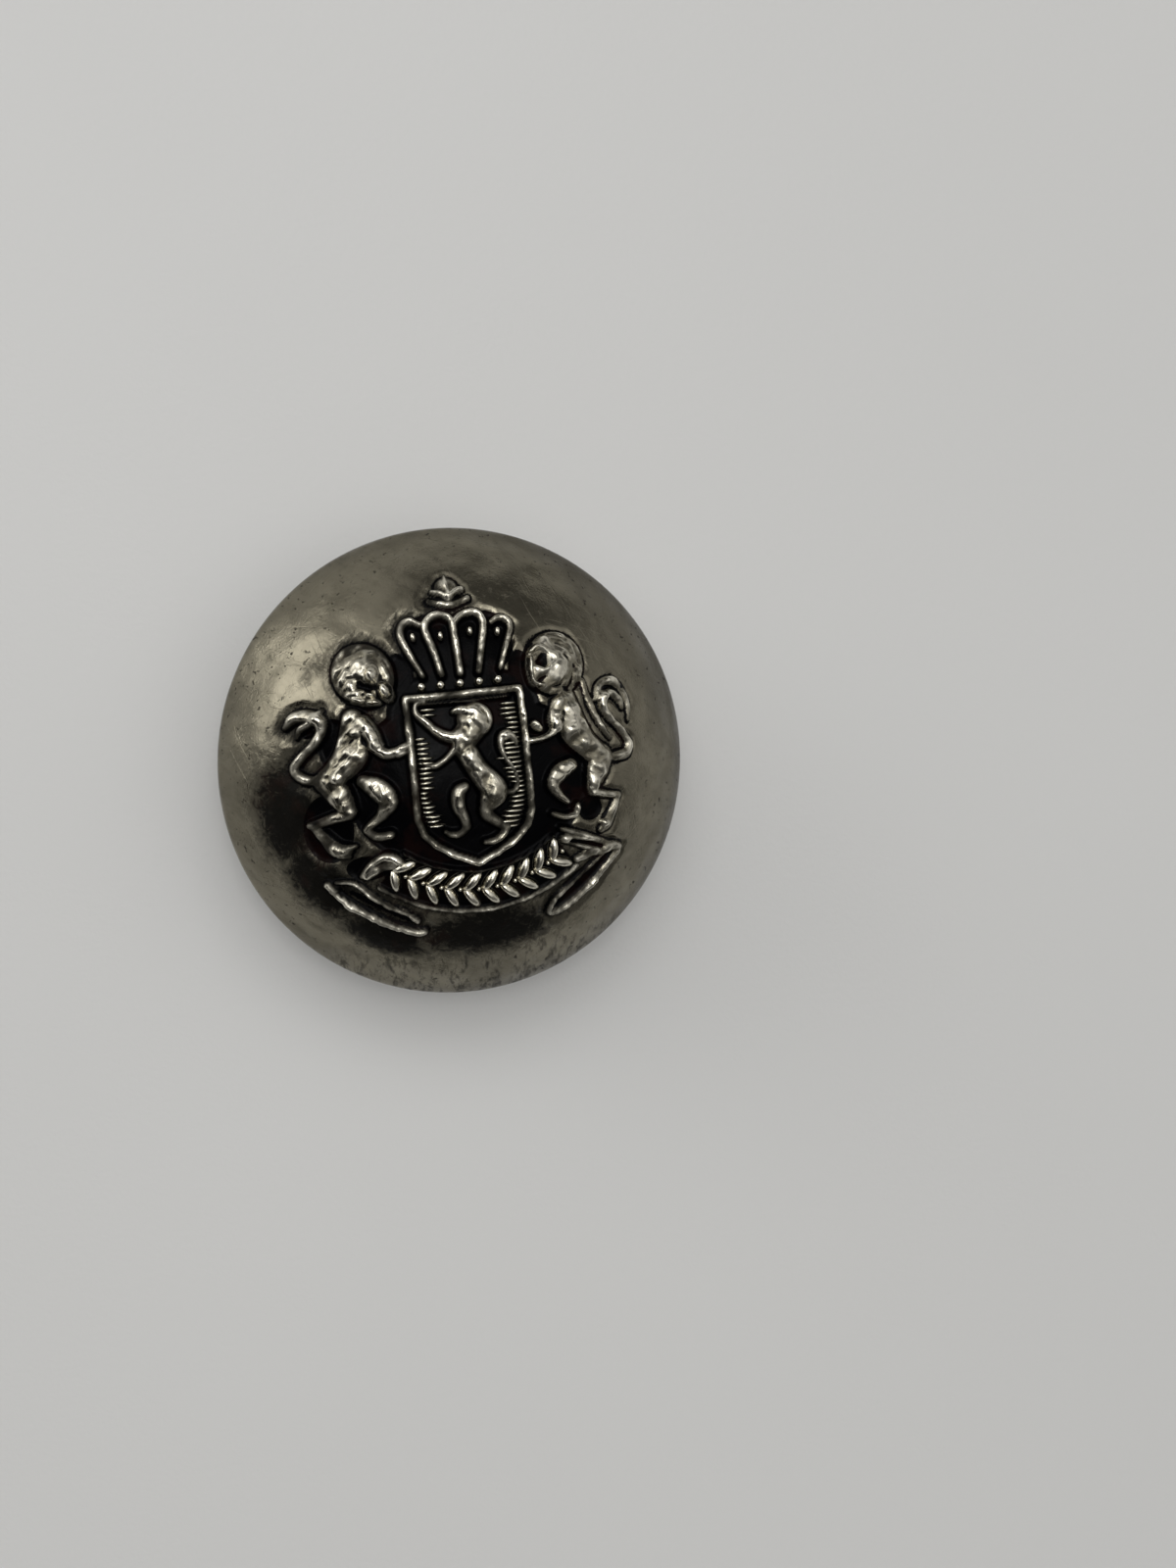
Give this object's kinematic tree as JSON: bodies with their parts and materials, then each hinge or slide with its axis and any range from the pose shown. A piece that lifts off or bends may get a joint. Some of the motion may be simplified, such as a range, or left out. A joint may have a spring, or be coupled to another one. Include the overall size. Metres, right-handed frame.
{
  "type": "cap badge",
  "caption": "Round domed cap badge struck with a crowned shield between lions, with a crimped back, a tubular collar and a wire eye that takes a split pin.",
  "frame": {"origin": "on the dome's axis, in the plane of the rim's underside that lies against the cap", "axes": "+Z out of the face along the dome's axis, +Y up on the face, +X to the right as the face is looked at"},
  "size_m": [0.025, 0.025, 0.0139],
  "materials": {
    "front_plate": "antique silver plate on brass, blackened in the recesses and rubbed bright on the high points",
    "back_plate": "dull silver plate on brass with turning marks",
    "card": "pressed grey-brown card",
    "steel": "plain mild steel",
    "collar": "silver plate on brass, worn at the edges",
    "eye_wire": "silver-plated brass wire",
    "pin_brass": "tarnished bare brass"
  },
  "bodies": {
    "badge": {"front_shell": "front_plate", "back_shell": "back_plate", "card_filling": "card", "retaining_plate": "steel", "shank_collar": "collar", "shank_eye": "eye_wire"},
    "split_pin": {"split_pin": "pin_brass"}
  },
  "joints": [
    {"name": "pin_slide", "type": "slide", "parent": "badge", "child": "split_pin", "axis": [1, 0, 0], "range_m": [0, 0.021]}
  ]
}
